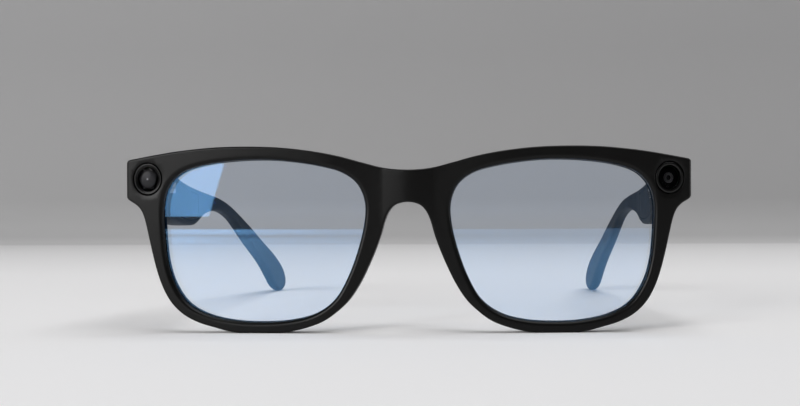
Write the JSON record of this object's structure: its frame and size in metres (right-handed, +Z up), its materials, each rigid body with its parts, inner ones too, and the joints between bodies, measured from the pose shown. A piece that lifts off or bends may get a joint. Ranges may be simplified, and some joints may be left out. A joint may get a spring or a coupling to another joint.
{
  "type": "smart glasses",
  "caption": "Glasses with clear coated lenses, a camera and an indicator in the front's ends, and folding temples that hold the electronics, with a button and a slider.",
  "frame": {"origin": "middle of the bottom of the whole object, which stands on its two rims and its two ear tips, with the temples open", "axes": "+Z up, +Y from the front towards the ears, +X towards the wearer's left"},
  "size_m": [0.1464, 0.1424, 0.048],
  "materials": {
    "shell": "satin black moulded nylon",
    "pad": "matte black moulded pad",
    "lens": "clear lens with a blue-reflecting coat",
    "trim": "gloss black ring",
    "cover_glass": "dark clear window",
    "barrel": "black lens barrel",
    "element": "coated front element",
    "board": "green solder mask",
    "guide": "milky light guide",
    "flex": "amber film cable",
    "contact": "gold plated",
    "steel": "satin stainless steel",
    "mesh": "blackened perforated steel",
    "cell": "foil pouch and speaker can",
    "button": "satin black key"
  },
  "bodies": {
    "front": {"front_frame": "shell", "lens_right": "lens", "lens_left": "lens", "brow_flex": "flex", "brow_flex_cover": "shell", "nose_pad_right": "pad", "nose_pad_left": "pad", "charging_contact_right": "contact", "charging_contact_left": "contact", "nose_microphone": "steel", "camera_trim_ring": "trim", "camera_cover_glass": "cover_glass", "camera_barrel": "barrel", "camera_front_element": "element", "camera_sensor_board": "board", "indicator_trim_ring": "trim", "indicator_window": "cover_glass", "indicator_light_guide": "guide", "indicator_board": "board", "hinge_bracket_right": "steel", "hinge_bracket_left": "steel", "hinge_pin_right": "steel", "hinge_pin_left": "steel"},
    "temple_right": {"temple_shell_right": "shell", "temple_cover_right": "shell", "hinge_leaf_right": "steel", "core_wire_right": "steel", "speaker_right": "cell", "speaker_mesh_right": "mesh", "microphone_right": "steel", "main_board": "board", "processor_shield": "steel", "touch_sensor": "flex", "capture_switch": "steel"},
    "temple_left": {"temple_shell_left": "shell", "temple_cover_left": "shell", "hinge_leaf_left": "steel", "core_wire_left": "steel", "speaker_left": "cell", "speaker_mesh_left": "mesh", "microphone_left": "steel", "battery": "cell", "battery_board": "board", "power_switch_body": "steel"},
    "capture_key": {"capture_button": "button"},
    "power_knob": {"power_slider": "button"}
  },
  "joints": [
    {"name": "temple_left_fold", "type": "hinge", "parent": "front", "child": "temple_left", "pos_m": [0.0656, -0.0572, 0.0386], "axis": [0, 0, 1], "range_deg": [0, 90]},
    {"name": "temple_right_fold", "type": "hinge", "parent": "front", "child": "temple_right", "pos_m": [-0.0656, -0.0572, 0.0386], "axis": [0, 0, -1], "range_deg": [0, 84]},
    {"name": "capture_button_press", "type": "slide", "parent": "temple_right", "child": "capture_key", "axis": [0, -0.2042, -0.9789], "range_m": [0, 0.0004], "stiffness_N_per_m": 400},
    {"name": "power_switch_slide", "type": "slide", "parent": "temple_left", "child": "power_knob", "axis": [0, 1, 0], "range_m": [0, 0.0015]}
  ]
}
